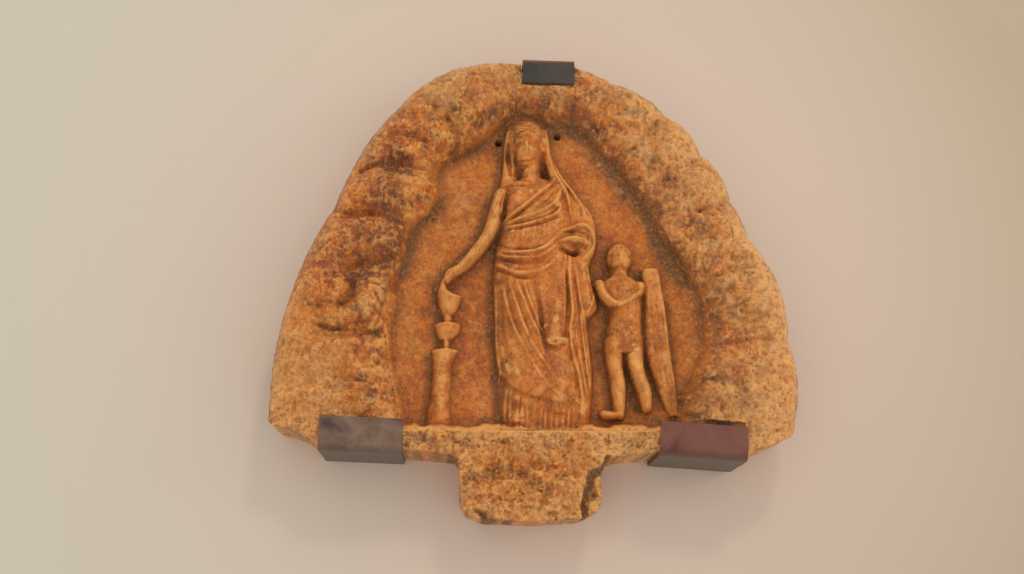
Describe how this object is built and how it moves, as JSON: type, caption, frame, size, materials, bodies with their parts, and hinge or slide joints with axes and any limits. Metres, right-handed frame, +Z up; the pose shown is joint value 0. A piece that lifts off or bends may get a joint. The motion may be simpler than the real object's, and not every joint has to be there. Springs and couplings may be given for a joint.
{
  "type": "marble votive relief",
  "caption": "Arched marble relief carved as a rocky cave, with a veiled figure, an incense burner and a winged child, held on a wall by bent metal brackets.",
  "frame": {"origin": "middle of the top clip's wall plate, in the plane of the wall", "axes": "+Y out of the back into the wall, so the carved front faces -Y; +Z up; +X to the right when looking at the front"},
  "size_m": [0.5499, 0.0903, 0.5099],
  "materials": {
    "marble": "weathered, ochre and brown patina",
    "patinated_metal": "brown patina, satin",
    "rubber_pad": "matte"
  },
  "bodies": {
    "root": {"relief": "marble", "cradle_left": "patinated_metal", "cradle_right": "patinated_metal", "clip_top": "patinated_metal", "pad_inner": "rubber_pad", "pad_outer": "rubber_pad"}
  },
  "joints": []
}
